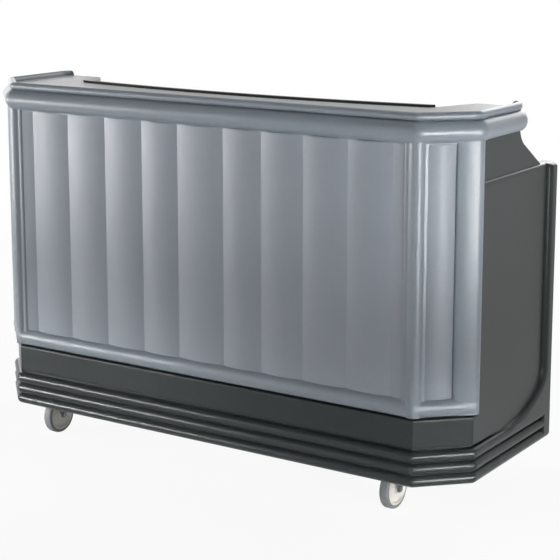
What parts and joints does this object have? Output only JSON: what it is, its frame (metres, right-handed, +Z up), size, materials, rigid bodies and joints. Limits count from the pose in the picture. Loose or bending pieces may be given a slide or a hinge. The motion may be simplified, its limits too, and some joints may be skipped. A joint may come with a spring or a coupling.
{
  "type": "mobile bar unit",
  "caption": "Free-standing mobile serving bar with a fluted front, chamfered corners, moulded bar top, ice bin, storage bays and swivel casters.",
  "frame": {"origin": "centre of the bounding box in plan, on the ground under the wheels", "axes": "+X along the bar to the right seen from the guests' side, +Y towards the bartender's side, +Z up"},
  "size_m": [1.85, 0.69, 1.219],
  "materials": {
    "body_plastic": "moulded charcoal plastic, fine leather grain",
    "trim_plastic": "moulded blue-gray plastic, satin",
    "panel_plastic": "moulded light gray plastic, fine grain",
    "deck_plastic": "moulded dark gray plastic",
    "foam_jacket": "gray insulated jacket",
    "stainless": "brushed stainless sheet",
    "zinc_steel": "bright zinc plate",
    "valve_brass": "cast brass",
    "lever_red": "red dipped lever",
    "board_white": "white food-grade plastic",
    "hub_plastic": "cream moulded nylon",
    "tyre_rubber": "gray non-marking rubber",
    "pedal_plastic": "black moulded pedal"
  },
  "bodies": {
    "bar_body": {"bumper_skirt": "body_plastic", "plinth_band": "body_plastic", "base_floor": "deck_plastic", "front_wall": "body_plastic", "left_end_wall": "body_plastic", "right_end_wall": "body_plastic", "fascia_frame": "trim_plastic", "flute_panel": "panel_plastic", "left_corner_flute": "panel_plastic", "right_corner_flute": "panel_plastic", "bar_top": "trim_plastic", "backsplash": "body_plastic", "work_deck": "deck_plastic", "left_deck": "deck_plastic", "right_deck": "deck_plastic", "left_divider": "body_plastic", "right_divider": "body_plastic", "left_shelf": "body_plastic", "right_shelf": "body_plastic", "shelf_cleats": "zinc_steel", "ice_bin": "stainless", "ice_bin_jacket": "foam_jacket", "lid_tracks": "stainless", "bin_drain": "stainless", "drain_nut": "zinc_steel", "drain_valve": "valve_brass", "drain_spout": "stainless", "bottle_cups": "stainless", "speed_rail": "stainless", "rail_hangers": "zinc_steel", "hanger_screws": "zinc_steel", "front_left_plate": "zinc_steel", "front_right_plate": "zinc_steel", "rear_left_plate": "zinc_steel", "rear_right_plate": "zinc_steel", "swivel_races": "zinc_steel", "caster_bolts": "zinc_steel"},
    "front_left_swivel": {"front_left_fork": "zinc_steel", "front_left_axle": "zinc_steel"},
    "front_left_wheel": {"front_left_hub": "hub_plastic", "front_left_tyre": "tyre_rubber"},
    "front_right_swivel": {"front_right_fork": "zinc_steel", "front_right_axle": "zinc_steel"},
    "front_right_wheel": {"front_right_hub": "hub_plastic", "front_right_tyre": "tyre_rubber"},
    "rear_left_swivel": {"rear_left_fork": "zinc_steel", "rear_left_axle": "zinc_steel"},
    "rear_left_wheel": {"rear_left_hub": "hub_plastic", "rear_left_tyre": "tyre_rubber"},
    "rear_right_swivel": {"rear_right_fork": "zinc_steel", "rear_right_axle": "zinc_steel"},
    "rear_right_wheel": {"rear_right_hub": "hub_plastic", "rear_right_tyre": "tyre_rubber"},
    "left_pedal": {"left_brake_pedal": "pedal_plastic"},
    "right_pedal": {"right_brake_pedal": "pedal_plastic"},
    "left_lid": {"left_ice_lid": "stainless"},
    "right_lid": {"right_ice_lid": "stainless"},
    "valve_handle": {"valve_lever": "lever_red", "valve_ball": "stainless"},
    "board": {"cutting_board": "board_white"}
  },
  "joints": [
    {"name": "front_left_swivel_turn", "type": "hinge", "parent": "bar_body", "child": "front_left_swivel", "pos_m": [-0.665, -0.208, 0.14], "axis": [0, 0, 1], "continuous": true},
    {"name": "front_left_wheel_spin", "type": "hinge", "parent": "front_left_swivel", "child": "front_left_wheel", "pos_m": [-0.665, -0.246, 0.0635], "axis": [1, 0, 0], "continuous": true},
    {"name": "front_right_swivel_turn", "type": "hinge", "parent": "bar_body", "child": "front_right_swivel", "pos_m": [0.665, -0.208, 0.14], "axis": [0, 0, 1], "continuous": true},
    {"name": "front_right_wheel_spin", "type": "hinge", "parent": "front_right_swivel", "child": "front_right_wheel", "pos_m": [0.665, -0.246, 0.0635], "axis": [1, 0, 0], "continuous": true},
    {"name": "rear_left_swivel_turn", "type": "hinge", "parent": "bar_body", "child": "rear_left_swivel", "pos_m": [-0.665, 0.199, 0.14], "axis": [0, 0, 1], "continuous": true},
    {"name": "rear_left_wheel_spin", "type": "hinge", "parent": "rear_left_swivel", "child": "rear_left_wheel", "pos_m": [-0.665, 0.237, 0.0635], "axis": [1, 0, 0], "continuous": true},
    {"name": "rear_right_swivel_turn", "type": "hinge", "parent": "bar_body", "child": "rear_right_swivel", "pos_m": [0.665, 0.199, 0.14], "axis": [0, 0, 1], "continuous": true},
    {"name": "rear_right_wheel_spin", "type": "hinge", "parent": "rear_right_swivel", "child": "rear_right_wheel", "pos_m": [0.665, 0.237, 0.0635], "axis": [1, 0, 0], "continuous": true},
    {"name": "left_brake_press", "type": "hinge", "parent": "rear_left_swivel", "child": "left_pedal", "pos_m": [-0.665, 0.30002, 0.11828], "axis": [1, 0, 0], "range_deg": [-15, 0]},
    {"name": "right_brake_press", "type": "hinge", "parent": "rear_right_swivel", "child": "right_pedal", "pos_m": [0.665, 0.30002, 0.11828], "axis": [1, 0, 0], "range_deg": [-15, 0]},
    {"name": "left_lid_slide", "type": "slide", "parent": "bar_body", "child": "left_lid", "axis": [1, 0, 0], "range_m": [0, 0.29]},
    {"name": "right_lid_slide", "type": "slide", "parent": "bar_body", "child": "right_lid", "axis": [1, 0, 0], "range_m": [-0.29, 0]},
    {"name": "valve_turn", "type": "hinge", "parent": "bar_body", "child": "valve_handle", "pos_m": [0, 0.098, 0.4665], "axis": [0, 1, 0], "range_deg": [0, 90]},
    {"name": "board_lift", "type": "slide", "parent": "bar_body", "child": "board", "axis": [0, 0, 1], "range_m": [0, 0.15]}
  ]
}
